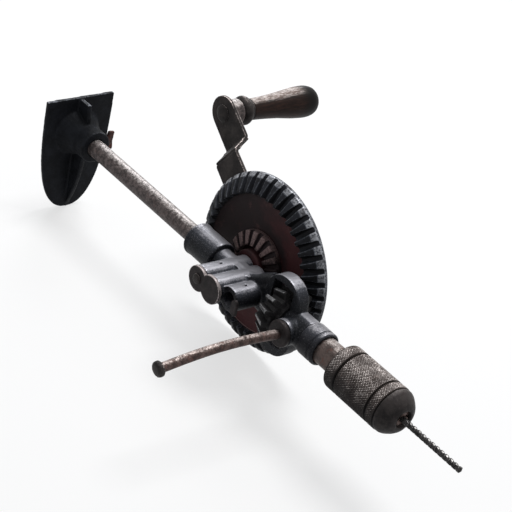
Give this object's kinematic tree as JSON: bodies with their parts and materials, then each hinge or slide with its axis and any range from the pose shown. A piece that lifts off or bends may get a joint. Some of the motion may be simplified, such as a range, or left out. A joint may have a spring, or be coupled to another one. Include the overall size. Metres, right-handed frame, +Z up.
{
  "type": "breast drill",
  "caption": "Hand cranked breast drill: shield-shaped breast plate, tube, open cast frame with a bevel gear and crank at its side, bent side handle rod, knurled chuck and twist bit.",
  "frame": {"origin": "centre of the breast plate's flat back, on the spindle axis", "axes": "+X from the breast plate to the bit along the spindle, +Y towards the crank, +Z up"},
  "size_m": [0.4015, 0.2298, 0.1354],
  "materials": {
    "black_iron": "blue-black painted casting, rubbed to bare grey iron on its high edges",
    "maroon_gear": "dark maroon paint on the web, bare dark steel on teeth and rim",
    "rusty_steel": "bare steel with brown rust bloom",
    "dark_steel": "dark oxidised steel with worn bright edges",
    "bright_steel": "bare machined steel, oiled and slightly stained",
    "knurled_steel": "diamond knurled steel, brown with age, with a smooth nose",
    "dark_wood": "dark stained hardwood, rubbed pale where it is held"
  },
  "bodies": {
    "breast_plate": {"breast_plate": "black_iron"},
    "thumb_screw": {"thumb_screw": "rusty_steel"},
    "frame": {"frame_tube": "rusty_steel", "main_frame": "black_iron", "side_handle_collar": "rusty_steel", "side_handle_rod": "rusty_steel", "side_handle_cap": "dark_steel", "latch_pin": "dark_steel", "latch_stop": "rusty_steel", "bearing_cup": "black_iron", "thrust_race": "bright_steel", "bearing_ball_1": "bright_steel", "bearing_ball_2": "bright_steel", "bearing_ball_3": "bright_steel", "bearing_ball_4": "bright_steel", "bearing_ball_5": "bright_steel", "bearing_ball_6": "bright_steel", "bearing_ball_7": "bright_steel", "bearing_ball_8": "bright_steel"},
    "latch": {"latch_plate": "rusty_steel", "latch_button": "dark_steel"},
    "crank": {"crank_gear": "maroon_gear", "gear_axle": "bright_steel", "crank_arm": "dark_steel", "crank_nut": "dark_steel", "grip_pin": "dark_steel", "grip_spacer": "rusty_steel"},
    "grip": {"grip_ferrule": "dark_steel", "wooden_grip": "dark_wood"},
    "spindle": {"spindle": "bright_steel", "pinion": "dark_steel", "pinion_pin": "bright_steel", "chuck_body": "knurled_steel", "chuck_rear_ring": "knurled_steel"},
    "sleeve": {"chuck_sleeve": "knurled_steel", "jaw_nut": "bright_steel"},
    "jaw_1": {"jaw_1": "dark_steel"},
    "jaw_2": {"jaw_2": "dark_steel"},
    "jaw_3": {"jaw_3": "dark_steel"},
    "bit": {"twist_bit": "dark_steel"}
  },
  "joints": [
    {"name": "plate_turn", "type": "hinge", "parent": "breast_plate", "child": "frame", "pos_m": [0.0276, 0, 0], "axis": [1, 0, 0], "continuous": true},
    {"name": "thumb_screw_turn", "type": "hinge", "parent": "breast_plate", "child": "thumb_screw", "pos_m": [0.021, 0, 0], "axis": [0, 0.9996, 0.0279], "range_deg": [0, 720]},
    {"name": "latch_turn", "type": "hinge", "parent": "frame", "child": "latch", "pos_m": [0.20302, -0.0273, 0], "axis": [0, 1, 0], "range_deg": [0, 180]},
    {"name": "crank_spin", "type": "hinge", "parent": "frame", "child": "crank", "pos_m": [0.19, 0, 0], "axis": [0, 1, 0], "continuous": true},
    {"name": "grip_spin", "type": "hinge", "parent": "crank", "child": "grip", "pos_m": [0.10251, 0.06408, 0.06126], "axis": [0, 1, 0], "continuous": true},
    {"name": "spindle_spin", "type": "hinge", "parent": "frame", "child": "spindle", "pos_m": [0.24535, 0, 0], "axis": [1, 0, 0], "continuous": true},
    {"name": "sleeve_turn", "type": "hinge", "parent": "spindle", "child": "sleeve", "pos_m": [0.30454, 0, 0], "axis": [1, 0, 0], "range_deg": [0, 2160]},
    {"name": "jaw_1_slide", "type": "slide", "parent": "spindle", "child": "jaw_1", "axis": [-0.9816, 0, 0.1908], "range_m": [0, 0.0075]},
    {"name": "jaw_2_slide", "type": "slide", "parent": "spindle", "child": "jaw_2", "axis": [-0.9816, -0.1652, -0.0954], "range_m": [0, 0.0075]},
    {"name": "jaw_3_slide", "type": "slide", "parent": "spindle", "child": "jaw_3", "axis": [-0.9816, 0.1652, -0.0954], "range_m": [0, 0.0075]},
    {"name": "bit_pull", "type": "slide", "parent": "spindle", "child": "bit", "axis": [1, 0, 0], "range_m": [0, 0.022]}
  ],
  "couplings": [
    {"joint": "spindle_spin", "follows": "crank_spin", "ratio": -3},
    {"joint": "jaw_1_slide", "follows": "sleeve_turn", "m_per_rad": 0.00019894},
    {"joint": "jaw_2_slide", "follows": "sleeve_turn", "m_per_rad": 0.00019894},
    {"joint": "jaw_3_slide", "follows": "sleeve_turn", "m_per_rad": 0.00019894}
  ]
}
